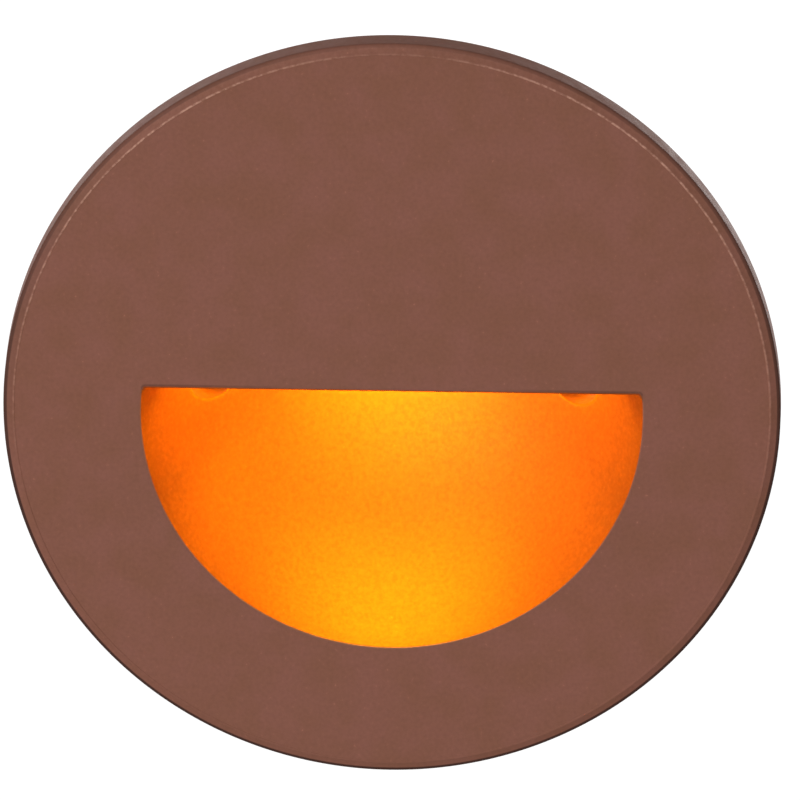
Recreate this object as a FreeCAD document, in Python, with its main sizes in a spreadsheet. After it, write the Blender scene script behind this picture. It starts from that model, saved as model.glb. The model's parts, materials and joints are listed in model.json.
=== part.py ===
"""Round recessed step light with a scooped face, in millimetres.

The wall's surface is the plane y = 0. The face looks towards -Y, the housing goes into the wall
towards +Y and +Z is up. The origin is on the housing's axis.
"""
import FreeCAD
import Part
import Sketcher
import math
import operator
import os

Vector = FreeCAD.Vector

# Driving dimensions: alias, value in millimetres (or degrees, or a count), what it is.
DIMENSIONS = [
    ("face_rad", 38.1, "face disc, radius (three inches across)"),
    ("face_thick", 3.2, "face disc, thickness"),
    ("edge_round", 1.0, "rounding of the face's front edge"),
    ("back_round", 0.4, "chamfer of the face's back edge"),
    ("mouth_rad", 24.6, "scoop's mouth, radius"),
    ("mouth_drop", 0.4, "scoop's centre below the face's centre"),
    ("scoop_depth", 14.2, "scoop's depth from the face's front"),
    ("scoop_wall", 1.8, "scoop's wall"),
    ("lid_edge", 2.2, "height of the straight lid edge"),
    ("lid_lap", 0.6, "how far the lid runs into the scoop's wall"),
    ("ceiling", 9.0, "height of the scoop's ceiling"),
    ("shelf_thick", 1.6, "ceiling shelf, thickness"),
    ("frame_top", 13.6, "top of the lamp frame on the shelf"),
    ("frame_lap", 0.6, "lamp frame, how far above the ceiling it starts"),
    ("frame_half", 17.6, "lamp frame, half width"),
    ("frame_depth", 11.5, "lamp frame, back face"),
    ("seat_half", 12.8, "lens seat, half width"),
    ("seat_front", 0.8, "lens seat, front"),
    ("seat_back", 9.6, "lens seat, back"),
    ("window_half", 11.4, "lamp window, half width"),
    ("window_front", 1.6, "lamp window, front"),
    ("window_back", 7.4, "lamp window, back"),
    ("screw_x", 17.8, "recess screws, distance from the middle"),
    ("screw_up", 0.15, "recess screws, distance above the middle"),
    ("sink_rad", 2.2, "concave screw hole, radius"),
    ("sink_floor", 9.5, "concave screw hole, depth of its floor"),
    ("sink_wall", 1.4, "wall round the concave screw hole"),
    ("boss_back", 12.0, "back end of the face's screw bosses"),
    ("recess_clear", 1.4, "recess screws, clearance hole radius"),
    ("recess_tap", 1.28, "recess screws, tapped hole radius"),
    ("recess_tap_len", 9.0, "recess screws, tapped hole depth"),
    ("seal_in", 25.3, "housing seal groove, inner radius"),
    ("seal_out", 27.3, "housing seal groove, outer radius"),
    ("seal_deep", 1.6, "housing seal groove, depth"),
    ("gasket_in", 30.0, "wall gasket groove, inner radius"),
    ("gasket_out", 34.0, "wall gasket groove, outer radius"),
    ("gasket_deep", 1.2, "wall gasket groove, depth"),
    ("collar_rad", 28.15, "housing collar, radius"),
    ("collar_len", 8.0, "housing collar, length behind the wall's surface"),
    ("collar_wall", 2.15, "housing collar, wall"),
    ("rim_in", 0.4, "how far the housing's rim enters the seal groove"),
    ("rim_step", 0.95, "step from the collar in to the housing's rim"),
    ("can_rad", 27.6, "housing body, radius"),
    ("can_wall", 2.0, "housing body, wall"),
    ("can_edge", 0.6, "chamfers on the housing's outer edges"),
    ("shoulder", 26.0, "housing shoulder, back face"),
    ("core_rad", 21.5, "finned rear section, core radius"),
    ("fin_rad", 24.5, "finned rear section, radius over the fins"),
    ("fin_thick", 1.2, "cooling fin, thickness"),
    ("fin_root", 0.5, "cooling fin, how far it runs into the core"),
    ("fin_end", 0.8, "cooling fin, how far before the back face it ends"),
    ("fin_count", 24, "cooling fins, count"),
    ("can_back", 36.0, "housing's back face"),
    ("back_thick", 3.0, "housing's back wall"),
    ("post_rad", 3.0, "screw post, radius"),
    ("post_front", 12.2, "screw post, front end"),
    ("web_half", 1.1, "web between a screw post and its clip pocket, half thickness"),
    ("web_lap", 0.7, "how far the web runs into the clip pocket's wall"),
    ("pocket_floor", 23.25, "clip pocket, distance of its floor from the middle"),
    ("pocket_half", 5.4, "clip pocket, half width"),
    ("pocket_front", 8.6, "clip pocket, front end"),
    ("pocket_back", 24.8, "clip pocket, back end"),
    ("pocket_wall", 1.4, "wall behind the clip pocket's floor"),
    ("cheek_half", 8.0, "clip pocket, half width over its side walls"),
    ("cheek_lead", 2.0, "clip pocket, how far before it its walls start"),
    ("cheek_in", 1.6, "clip pocket, how far its side walls stay inside the housing's surface"),
    ("pin_x", 25.0, "clip hinge, distance from the middle"),
    ("pin_y", 20.2, "clip hinge, distance behind the wall's surface"),
    ("pin_rad", 0.9, "clip hinge pin, radius"),
    ("pin_half", 7.2, "clip hinge pin, half length"),
    ("pin_fit", 0.01, "clearance of the hinge pin in the housing"),
    ("hinge_gap", 0.05, "running clearance of the clip arm on its pin"),
    ("arm_half", 4.8, "clip arm, half width"),
    ("arm_sheet", 0.8, "clip arm, sheet thickness"),
    ("arm_start", 2.7, "clip arm, where its blade starts from the pin"),
    ("arm_len", 9.1, "clip arm, where its toe starts to curl"),
    ("toe_rad", 1.4, "clip arm's toe, inner radius of the curl"),
    ("ear_rad", 1.6, "clip arm's ear, radius round the pin"),
    ("ear_foot", 5.2, "clip arm's ear, where it runs out on the blade"),
    ("heel_in", 0.33, "clip arm's heel, how far its stop corner lies inward of the pin"),
    ("heel_out", 0.8, "clip arm's heel, how far it reaches outward of the pin"),
    ("heel_high", 2.36, "clip arm's heel, height over the pin"),
    ("rest_turn", 38.0, "clip arm's angle from the housing's side when at rest, degrees"),
    ("coil_rad", 1.4, "torsion spring, radius to the wire's middle"),
    ("wire_rad", 0.3, "torsion spring, wire radius"),
    ("coil_pitch", 1.08, "torsion spring, pitch"),
    ("coil_turns", 4, "torsion spring, whole turns"),
    ("leg_len", 5.0, "torsion spring, length of the leg on the arm"),
    ("foot_len", 4.0, "torsion spring, length of the leg on the pocket floor"),
    ("lens_thick", 1.6, "lamp lens, thickness"),
    ("lens_bed", 0.6, "lens gasket, thickness"),
    ("board_thick", 1.6, "circuit boards, thickness"),
    ("lamp_half", 17.2, "lamp board, half width"),
    ("lamp_front", 0.4, "lamp board, front edge"),
    ("lamp_back", 12.6, "lamp board, back edge"),
    ("emitter_wide", 3.0, "amber emitter, width"),
    ("emitter_high", 0.7, "amber emitter, height"),
    ("emitter_step", 5.0, "distance between emitters"),
    ("emitter_y", 4.6, "emitters, distance behind the wall's surface"),
    ("sink_plate", 2.5, "lamp carrier, plate thickness"),
    ("carrier_half", 16.8, "lamp carrier, half width"),
    ("carrier_flange", 12.8, "lamp carrier, half width of its flange"),
    ("carrier_back", 10.2, "lamp carrier, back edge"),
    ("carrier_top", 21.6, "lamp carrier, top of its flange and ribs"),
    ("rib_step", 3.0, "lamp carrier, distance between its ribs"),
    ("rib_half", 0.6, "lamp carrier, half thickness of a rib"),
    ("driver_front", 21.0, "driver board, front face"),
    ("driver_half_x", 13.5, "driver board, half width"),
    ("driver_half_z", 20.5, "driver board, half height"),
    ("driver_hole_x", 11.0, "driver screws, distance from the middle, across"),
    ("driver_hole_z", 18.6, "driver screws, distance from the middle, up"),
    ("standoff_rad", 2.0, "driver board's standoffs, radius"),
    ("lead_rad", 0.6, "lamp lead, radius"),
    ("lead_x", 3.0, "lamp leads, distance from the middle"),
    ("gland_hole", 6.05, "gland hole in the back wall, radius"),
    ("gland_tail", 5.98, "gland thread, radius"),
    ("gland_flats", 15.0, "gland body and nut, across flats"),
    ("locknut_flats", 16.0, "gland locknut, across flats"),
    ("cord_bore", 2.6, "gland insert, bore radius"),
    ("insert_rad", 4.0, "gland insert, outer radius"),
    ("insert_len", 8.0, "gland insert, length"),
]

SHEET_NAME = "Sizes"
OPERATIONS = {"+": operator.add, "-": operator.sub, "*": operator.mul, "/": operator.truediv}


class Size:
    """A length that carries both its value and the sheet expression that drives it."""

    def __init__(self, value, text):
        self.value = float(value)
        self.text = text

    def join(self, sign, other, swapped=False):
        other = as_size(other)
        left, right = (other, self) if swapped else (self, other)
        value = OPERATIONS[sign](left.value, right.value)
        return Size(value, f"({left.text} {sign} {right.text})")

    def __add__(self, other):
        return self.join("+", other)

    def __radd__(self, other):
        return self.join("+", other, swapped=True)

    def __sub__(self, other):
        return self.join("-", other)

    def __rsub__(self, other):
        return self.join("-", other, swapped=True)

    def __mul__(self, other):
        return self.join("*", other)

    def __rmul__(self, other):
        return self.join("*", other, swapped=True)

    def __truediv__(self, other):
        return self.join("/", other)

    def __neg__(self):
        return Size(-self.value, f"(0 - {self.text})")


def as_size(number):
    """Plain numbers join in as constants."""
    return number if isinstance(number, Size) else Size(number, f"({number!r})")


def root(size):
    """Square root of a size."""
    return Size(math.sqrt(size.value), f"sqrt({size.text})")


def side_of(hypotenuse, other):
    """The remaining side of a right-angled triangle."""
    return root(hypotenuse * hypotenuse - other * other)


class Sizes:
    """The sheet's dimensions by name."""


def make_sheet(document):
    """Write the driving dimensions to the spreadsheet and hand them back by name."""
    sheet = document.addObject("Spreadsheet::Sheet", SHEET_NAME)
    sizes = Sizes()
    for row, (alias, value, meaning) in enumerate(DIMENSIONS, start=1):
        sheet.set(f"A{row}", meaning)
        sheet.set(f"B{row}", str(value))
        sheet.setAlias(f"B{row}", alias)
        setattr(sizes, alias, Size(value, f"{SHEET_NAME}.{alias}"))
    document.recompute()
    return sizes


doc = FreeCAD.newDocument("StepLight")
dim = make_sheet(doc)
ZERO = as_size(0)

# Sizes that several pieces share, worked out from the driving ones.
scoop_rad = (dim.mouth_rad * dim.mouth_rad + dim.scoop_depth * dim.scoop_depth) / (2 * dim.scoop_depth)
scoop_centre = dim.scoop_depth - dim.face_thick - scoop_rad
shell_rad = scoop_rad + dim.scoop_wall
shelf_top = dim.ceiling + dim.shelf_thick
lamp_top = dim.frame_top + dim.board_thick
driver_back = dim.driver_front + dim.board_thick
shoulder_front = dim.shoulder - dim.can_wall
back_front = dim.can_back - dim.back_thick
lamp_screw_x = (dim.seat_half + dim.frame_half) / 2
lamp_screw_y = dim.frame_depth / 2

# The small screws and their places on the lamp carrier.
SMALL_THREAD = as_size(1.0)
SMALL_HEAD = as_size(1.9)
SMALL_HEAD_HIGH = as_size(1.3)
SMALL_SOCKET = as_size(1.5)
SMALL_TAP = SMALL_THREAD + 0.03
SMALL_CLEAR = SMALL_THREAD + 0.1
SMALL_TAP_LEN = as_size(3.0)
CARRIER_TAP_LEN = as_size(2.0)
CARRIER_SCREW_X = as_size(9.0)
CARRIER_SCREW_Z = as_size(19.7)

# How far a boss or rib runs into what carries it, so that the two become one solid.
ROOT = as_size(0.5)


# ---- sketches and features ----

# Each working plane: its role in a body's origin and whether its normal points along the world axis.
PLANES = {"front": ("XZ_Plane", -1), "side": ("YZ_Plane", 1), "plan": ("XY_Plane", 1)}


def new_body(name):
    body = doc.addObject("PartDesign::Body", name)
    body.Label = name
    return body


def new_sketch(body, plane, offset=ZERO, rise=ZERO):
    """A sketch on one of the body's planes: front (X, Z), side (Y, Z) or plan (X, Y).

    offset moves it along the world axis across the plane, and rise along its own second axis.
    """
    role, normal = PLANES[plane]
    sketch = body.newObject("Sketcher::SketchObject", f"{body.Name}_{plane}")
    origin_plane = [item for item in body.Origin.OriginFeatures if item.Role == role][0]
    sketch.AttachmentSupport = [(origin_plane, "")]
    sketch.MapMode = "FlatFace"
    sketch.setExpression("AttachmentOffset.Base.y", as_size(rise).text)
    sketch.setExpression("AttachmentOffset.Base.z", (as_size(offset) * normal).text)
    return sketch


def pin_point(sketch, edge, end, across, up):
    """Tie one end of a sketch edge to its two driven coordinates."""
    for kind, size, axis in (("DistanceX", across, -2), ("DistanceY", up, -1)):
        if size.text == ZERO.text:
            sketch.addConstraint(Sketcher.Constraint("PointOnObject", edge, end, axis))
        else:
            tie = sketch.addConstraint(Sketcher.Constraint(kind, -1, 1, edge, end, size.value))
            sketch.setExpression(f"Constraints[{tie}]", size.text)


def drive_radius(sketch, edge, radius):
    tie = sketch.addConstraint(Sketcher.Constraint("Radius", edge, radius.value))
    sketch.setExpression(f"Constraints[{tie}]", radius.text)


def arc_between(start, end, radius):
    """The short arc from start to end; a positive radius turns left, a negative one right."""
    chord = end - start
    middle = (start + end) * 0.5
    reach = math.sqrt(max(radius * radius - chord.Length * chord.Length / 4, 0))
    left = Vector(-chord.y, chord.x, 0).normalize()
    centre = middle + left * (reach if radius > 0 else -reach)
    first, last = (start, end) if radius > 0 else (end, start)
    angles = [math.atan2(point.y - centre.y, point.x - centre.x) for point in (first, last)]
    circle = Part.Circle(centre, Vector(0, 0, 1), abs(radius))
    return Part.ArcOfCircle(circle, angles[0], angles[1])


def draw_outline(sketch, points, arcs=None):
    """A closed outline through the points; arcs gives the signed radius of the edge after a point."""
    arcs = {place: as_size(radius) for place, radius in (arcs or {}).items()}
    points = [(as_size(across), as_size(up)) for across, up in points]
    places = [Vector(across.value, up.value, 0) for across, up in points]
    edges = []
    for place, start in enumerate(places):
        end = places[(place + 1) % len(places)]
        if place in arcs:
            edge = sketch.addGeometry(arc_between(start, end, arcs[place].value))
            edges.append((edge, 1, 2) if arcs[place].value > 0 else (edge, 2, 1))
        else:
            edges.append((sketch.addGeometry(Part.LineSegment(start, end)), 1, 2))
    for place, (edge, _, finish) in enumerate(edges):
        following, begin, _ = edges[(place + 1) % len(edges)]
        sketch.addConstraint(Sketcher.Constraint("Coincident", edge, finish, following, begin))
    for place, (edge, begin, _) in enumerate(edges):
        pin_point(sketch, edge, begin, *points[place])
        if place in arcs:
            radius = arcs[place]
            drive_radius(sketch, edge, radius if radius.value > 0 else -radius)


def draw_box(sketch, left, right, low, high):
    draw_outline(sketch, [(left, low), (right, low), (right, high), (left, high)])


def draw_circle(sketch, across, up, radius):
    across, up, radius = as_size(across), as_size(up), as_size(radius)
    centre = Vector(across.value, up.value, 0)
    edge = sketch.addGeometry(Part.Circle(centre, Vector(0, 0, 1), radius.value))
    pin_point(sketch, edge, 3, across, up)
    drive_radius(sketch, edge, radius)


def draw_hexagon(sketch, flats):
    """Flats at the left and right, centred on the sketch."""
    half = flats / 2
    corner = flats / math.sqrt(3)
    draw_outline(sketch, [(half, -corner / 2), (half, corner / 2), (ZERO, corner),
                          (-half, corner / 2), (-half, -corner / 2), (ZERO, -corner)])


def settle(body, feature, adds, before):
    """Recompute, and stop if the feature failed to add or to cut."""
    doc.recompute()
    change = body.Shape.Volume - before
    has_effect = change > 0 if adds else change < 0
    if not body.Shape.isValid() or not has_effect:
        raise RuntimeError(f"{body.Label}: {feature.Name} has no effect, volume change {change:.4f}")
    return feature


def volume_of(body):
    return body.Shape.Volume if not body.Shape.isNull() else 0.0


def pad(body, sketch, length):
    """Grow the sketch towards +X, +Y or +Z."""
    before = volume_of(body)
    feature = body.newObject("PartDesign::Pad", f"{body.Name}_pad")
    feature.Profile = sketch
    feature.setExpression("Length", as_size(length).text)
    feature.Reversed = "_front" in sketch.Name
    return settle(body, feature, True, before)


def pocket(body, sketch, length):
    """Cut the sketch away towards +X, +Y or +Z."""
    before = volume_of(body)
    feature = body.newObject("PartDesign::Pocket", f"{body.Name}_pocket")
    feature.Profile = sketch
    feature.setExpression("Length", as_size(length).text)
    feature.Reversed = "_front" not in sketch.Name
    return settle(body, feature, False, before)


def turn(body, sketch, adds=True, axis="H_Axis"):
    """Revolve the sketch about one of its own axes, adding or cutting."""
    before = volume_of(body)
    kind = "Revolution" if adds else "Groove"
    feature = body.newObject(f"PartDesign::{kind}", f"{body.Name}_{kind.lower()}")
    feature.Profile = sketch
    feature.ReferenceAxis = (sketch, [axis])
    feature.Angle = 360
    return settle(body, feature, adds, before)


def polar_copies(body, feature, sketch, count):
    """Repeat a feature round the axis through the sketch's origin."""
    before = volume_of(body)
    pattern = body.newObject("PartDesign::PolarPattern", f"{body.Name}_pattern")
    pattern.Originals = [feature]
    pattern.Axis = (sketch, ["N_Axis"])
    pattern.Angle = 360
    pattern.setExpression("Occurrences", count.text)
    body.Tip = pattern
    return settle(body, pattern, True, before)


def place(body, across=ZERO, deep=ZERO, up=ZERO):
    """Move a body, with its place driven by the sheet."""
    for axis, size in (("x", across), ("y", deep), ("z", up)):
        body.setExpression(f"Placement.Base.{axis}", as_size(size).text)


def turned_ring(name, inner, outer, front, back):
    """A plain ring about the Y axis."""
    body = new_body(name)
    sketch = new_sketch(body, "side")
    draw_box(sketch, front, back, inner, outer)
    turn(body, sketch)
    return body


def block(body, across, deep, up):
    """Pad a box given as three (low, high) pairs."""
    low, high = (as_size(level) for level in up)
    sketch = new_sketch(body, "plan", offset=low)
    draw_box(sketch, *across, *deep)
    return pad(body, sketch, high - low)


def mirrored(source, name, normal):
    copy = doc.addObject("Part::Mirroring", name)
    copy.Source = source
    copy.Normal = normal
    return copy


def grouped(name, pieces):
    """Several separate solids under one name."""
    group = doc.addObject("Part::Compound", name)
    group.Label = name
    group.Links = pieces
    doc.recompute()
    return group


# ---- the face ----

def scoop_sphere(body, radius, adds):
    """The scoop's round form: the cap of a sphere behind the face's front plane."""
    bottom = scoop_centre + radius
    front = ZERO if adds else -dim.face_thick
    rim = side_of(radius, front - scoop_centre)
    sketch = new_sketch(body, "side", rise=-dim.mouth_drop)
    draw_outline(sketch, [(front, ZERO), (bottom, ZERO), (front, rim)], {1: radius})
    turn(body, sketch, adds)


def face_plate(body):
    front = -dim.face_thick
    sketch = new_sketch(body, "side")
    draw_outline(
        sketch,
        [(front, ZERO), (ZERO, ZERO), (ZERO, dim.face_rad - dim.back_round),
         (-dim.back_round, dim.face_rad), (front + dim.edge_round, dim.face_rad),
         (front, dim.face_rad - dim.edge_round)],
        {4: dim.edge_round})
    turn(body, sketch)


def screw_bosses(body):
    sketch = new_sketch(body, "front")
    for side in (-1, 1):
        draw_circle(sketch, side * dim.screw_x, dim.screw_up, dim.sink_rad + dim.sink_wall)
    pad(body, sketch, dim.boss_back)


def open_lamp_space(body):
    """Take away the top of the scoop's shell, where the lamp goes."""
    sketch = new_sketch(body, "front")
    draw_box(sketch, -dim.seal_in, dim.seal_in, dim.ceiling, dim.face_rad)
    pocket(body, sketch, dim.boss_back)


def scoop_lid(body):
    """Close the upper half of the mouth again, down to the straight lid edge."""
    reach = dim.mouth_rad + dim.lid_lap
    height = dim.lid_edge + dim.mouth_drop
    half = side_of(reach, height)
    sketch = new_sketch(body, "front", offset=-dim.face_thick, rise=-dim.mouth_drop)
    draw_outline(sketch, [(-half, height), (half, height)], {1: reach})
    pad(body, sketch, dim.face_thick)


def lamp_shelf(body):
    """Ceiling over the scoop, with the frame that seats the lens and its window."""
    level = dim.ceiling + dim.mouth_drop
    reach = side_of(shell_rad, level)
    half = side_of(reach, scoop_centre)
    sketch = new_sketch(body, "plan", offset=dim.ceiling)
    draw_outline(sketch, [(-half, ZERO), (half, ZERO)], {1: reach})
    pad(body, sketch, dim.shelf_thick)
    block(body, (-dim.frame_half, dim.frame_half), (ZERO, dim.frame_depth),
          (dim.ceiling + dim.frame_lap, dim.frame_top))
    seat = new_sketch(body, "plan", offset=shelf_top)
    draw_box(seat, -dim.seat_half, dim.seat_half, dim.seat_front, dim.seat_back)
    pocket(body, seat, dim.frame_top - shelf_top)
    window = new_sketch(body, "plan", offset=dim.ceiling)
    draw_box(window, -dim.window_half, dim.window_half, dim.window_front, dim.window_back)
    pocket(body, window, dim.shelf_thick)


def bore_pair(body, across, up, radius, front, back):
    """Two equal holes along Y, left and right."""
    sketch = new_sketch(body, "front", offset=front)
    for side in (-1, 1):
        draw_circle(sketch, side * across, up, radius)
    pocket(body, sketch, as_size(back) - front)


def lamp_screw_holes(body):
    """Holes down into the lamp frame, and blind ones in the plate's back for the carrier."""
    sketch = new_sketch(body, "plan", offset=shelf_top)
    for side in (-1, 1):
        draw_circle(sketch, side * lamp_screw_x, lamp_screw_y, SMALL_TAP)
    pocket(body, sketch, dim.frame_top - shelf_top)
    bore_pair(body, CARRIER_SCREW_X, CARRIER_SCREW_Z, SMALL_TAP, -CARRIER_TAP_LEN, ZERO)


def ring_groove(body, inner, outer, depth):
    sketch = new_sketch(body, "side")
    draw_box(sketch, -depth, ZERO, inner, outer)
    turn(body, sketch, adds=False)


def make_face():
    """One casting: plate, scoop, lid, lamp shelf and screw bosses."""
    body = new_body("face_casting")
    face_plate(body)
    scoop_sphere(body, shell_rad, adds=True)
    screw_bosses(body)
    scoop_sphere(body, scoop_rad, adds=False)
    open_lamp_space(body)
    scoop_lid(body)
    lamp_shelf(body)
    bore_pair(body, dim.screw_x, dim.screw_up, dim.sink_rad, ZERO, dim.sink_floor)
    bore_pair(body, dim.screw_x, dim.screw_up, dim.recess_clear, dim.sink_floor, dim.boss_back)
    lamp_screw_holes(body)
    ring_groove(body, dim.seal_in, dim.seal_out, dim.seal_deep)
    ring_groove(body, dim.gasket_in, dim.gasket_out, dim.gasket_deep)
    return body


def make_face_seals():
    fit = 0.05
    seal = turned_ring("housing_seal", dim.seal_in + fit, dim.seal_out - fit, -dim.seal_deep, -dim.rim_in)
    gasket = turned_ring("wall_gasket", dim.gasket_in + fit, dim.gasket_out - fit, -dim.gasket_deep, ZERO)
    return [seal, gasket]


# ---- the housing ----

def can_shell(body):
    """Collar, body, shoulder, finned core and back wall in one turned profile."""
    collar_in = dim.collar_rad - dim.collar_wall
    body_in = dim.can_rad - dim.can_wall
    core_in = dim.core_rad - dim.can_wall
    rim_rad = dim.collar_rad - dim.rim_step
    edge = dim.can_edge
    sketch = new_sketch(body, "side")
    draw_outline(sketch, [
        (-dim.rim_in, collar_in), (dim.collar_len, collar_in), (dim.collar_len, body_in),
        (shoulder_front, body_in), (shoulder_front, core_in), (back_front, core_in),
        (back_front, dim.gland_hole), (dim.can_back, dim.gland_hole),
        (dim.can_back, dim.core_rad - edge), (dim.can_back - edge, dim.core_rad),
        (dim.shoulder, dim.core_rad), (dim.shoulder, dim.can_rad - edge),
        (dim.shoulder - edge, dim.can_rad), (dim.collar_len + edge, dim.can_rad),
        (dim.collar_len, dim.collar_rad), (ZERO, dim.collar_rad), (ZERO, rim_rad), (-dim.rim_in, rim_rad)])
    turn(body, sketch)


def can_fins(body):
    sketch = new_sketch(body, "front", offset=dim.shoulder)
    half = dim.fin_thick / 2
    draw_box(sketch, dim.core_rad - dim.fin_root, dim.fin_rad, -half, half)
    fin = pad(body, sketch, dim.can_back - dim.shoulder - dim.fin_end)
    polar_copies(body, fin, sketch, dim.fin_count)


def clip_pockets(body):
    """A thick cheek on each side, hollowed from outside, with a hole for the hinge pin."""
    cheek_front = dim.pocket_front - dim.cheek_lead
    cheek = new_sketch(body, "front", offset=cheek_front)
    inner = dim.pocket_floor - dim.pocket_wall
    outer = dim.can_rad - dim.cheek_in
    for side in (-1, 1):
        draw_box(cheek, side * inner, side * outer, -dim.cheek_half, dim.cheek_half)
    pad(body, cheek, dim.shoulder - cheek_front)
    hollow = new_sketch(body, "front", offset=dim.pocket_front)
    for side in (-1, 1):
        draw_box(hollow, side * dim.pocket_floor, side * dim.face_rad, -dim.pocket_half, dim.pocket_half)
    pocket(body, hollow, dim.pocket_back - dim.pocket_front)
    hinge = new_sketch(body, "plan", offset=-dim.pin_half)
    for side in (-1, 1):
        draw_circle(hinge, side * dim.pin_x, dim.pin_y, dim.pin_rad + dim.pin_fit)
    pocket(body, hinge, dim.pin_half + dim.can_rad)


def screw_posts(body):
    """Posts for the recess screws, each tied to the clip pocket by a web."""
    sketch = new_sketch(body, "front", offset=dim.post_front)
    for side in (-1, 1):
        draw_circle(sketch, side * dim.screw_x, dim.screw_up, dim.post_rad)
    pad(body, sketch, dim.shoulder - dim.post_front)
    web = new_sketch(body, "front", offset=dim.post_front)
    inner = dim.screw_x + dim.post_rad - dim.web_lap
    outer = dim.pocket_floor - dim.web_lap
    for side in (-1, 1):
        draw_box(web, side * inner, side * outer, dim.screw_up - dim.web_half, dim.screw_up + dim.web_half)
    pad(body, web, dim.shoulder - dim.post_front)
    bore_pair(body, dim.screw_x, dim.screw_up, dim.recess_tap, dim.post_front,
              dim.post_front + dim.recess_tap_len)


def driver_standoffs(body):
    sketch = new_sketch(body, "front", offset=driver_back)
    for side in (-1, 1):
        for end in (-1, 1):
            draw_circle(sketch, side * dim.driver_hole_x, end * dim.driver_hole_z, dim.standoff_rad)
    pad(body, sketch, shoulder_front - driver_back + ROOT)
    for end in (-1, 1):
        bore_pair(body, dim.driver_hole_x, end * dim.driver_hole_z, SMALL_TAP,
                  driver_back, driver_back + SMALL_TAP_LEN)


def make_can():
    body = new_body("housing_can")
    can_shell(body)
    can_fins(body)
    clip_pockets(body)
    screw_posts(body)
    driver_standoffs(body)
    return body


# ---- screws ----

def turned_screw(name, head_rad, head_high, shank_rad, shank_len, socket):
    """A pan head screw along +Y: its head lies at y < 0 and its shank at y > 0."""
    body = new_body(name)
    tip = shank_rad / 2
    crown = head_rad / 4
    sketch = new_sketch(body, "side")
    draw_outline(sketch, [
        (-head_high, ZERO), (shank_len, ZERO), (shank_len, shank_rad - tip),
        (shank_len - tip, shank_rad), (ZERO, shank_rad), (ZERO, head_rad),
        (-head_high + crown, head_rad), (-head_high, head_rad - crown)])
    turn(body, sketch)
    drive = new_sketch(body, "front", offset=-head_high)
    draw_hexagon(drive, socket)
    pocket(body, drive, head_high / 2)
    return body


def small_screw(name, length):
    return turned_screw(name, SMALL_HEAD, SMALL_HEAD_HIGH, SMALL_THREAD, as_size(length), SMALL_SOCKET)


def make_recess_screws():
    screw = turned_screw("recess_screw", head_rad=as_size(2.0), head_high=as_size(1.9),
                         shank_rad=as_size(1.25), shank_len=as_size(10.0), socket=as_size(2.0))
    place(screw, dim.screw_x, dim.sink_floor, dim.screw_up)
    doc.recompute()
    return grouped("recess_screws", [screw, mirrored(screw, "recess_screw_left", Vector(1, 0, 0))])


def make_carrier_screws():
    screw = small_screw("carrier_screw", 4.3)
    place(screw, CARRIER_SCREW_X, dim.sink_plate, CARRIER_SCREW_Z)
    screw.Placement.Rotation = FreeCAD.Rotation(Vector(0, 0, 1), 180)
    doc.recompute()
    return grouped("carrier_screws", [screw, mirrored(screw, "carrier_screw_left", Vector(1, 0, 0))])


def make_lamp_screws():
    screw = small_screw("lamp_board_screw", 6.0)
    place(screw, lamp_screw_x, lamp_screw_y, lamp_top + dim.sink_plate)
    screw.Placement.Rotation = FreeCAD.Rotation(Vector(1, 0, 0), -90)
    doc.recompute()
    return grouped("lamp_board_screws", [screw, mirrored(screw, "lamp_board_screw_left", Vector(1, 0, 0))])


def make_driver_screws():
    screw = small_screw("driver_screw", 4.0)
    place(screw, dim.driver_hole_x, dim.driver_front, dim.driver_hole_z)
    doc.recompute()
    left = mirrored(screw, "driver_screw_left", Vector(1, 0, 0))
    upper = grouped("driver_screw_pair", [screw, left])
    lower = mirrored(upper, "driver_screw_lower", Vector(0, 0, 1))
    return grouped("driver_screws", [upper, lower])


# ---- the lamp ----

def make_lens():
    fit = 0.15
    bed_half = dim.seat_half - fit
    front = dim.seat_front + fit
    back = dim.seat_back - fit
    gasket = new_body("lens_gasket")
    block(gasket, (-bed_half, bed_half), (front, back), (shelf_top, shelf_top + dim.lens_bed))
    window = new_sketch(gasket, "plan", offset=shelf_top)
    draw_box(window, -dim.window_half, dim.window_half, dim.window_front, dim.window_back)
    pocket(gasket, window, dim.lens_bed)
    lens = new_body("lamp_lens")
    low = shelf_top + dim.lens_bed
    block(lens, (-bed_half, bed_half), (front, back), (low, low + dim.lens_thick))
    return [gasket, lens]


def make_lamp_board():
    board = new_body("lamp_board")
    block(board, (-dim.lamp_half, dim.lamp_half), (dim.lamp_front, dim.lamp_back), (dim.frame_top, lamp_top))
    holes = new_sketch(board, "plan", offset=dim.frame_top)
    for side in (-1, 1):
        draw_circle(holes, side * lamp_screw_x, lamp_screw_y, SMALL_CLEAR)
    pocket(board, holes, dim.board_thick)
    return board


def make_emitters():
    """Three amber emitters on the underside of the lamp board."""
    emitters = []
    half = dim.emitter_wide / 2
    for number, step in enumerate((-1, 0, 1), start=1):
        emitter = new_body(f"amber_emitter_{number}")
        middle = step * dim.emitter_step
        block(emitter, (middle - half, middle + half), (dim.emitter_y - half, dim.emitter_y + half),
              (dim.frame_top - dim.emitter_high, dim.frame_top))
        emitters.append(emitter)
    return grouped("amber_emitters", emitters)


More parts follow.
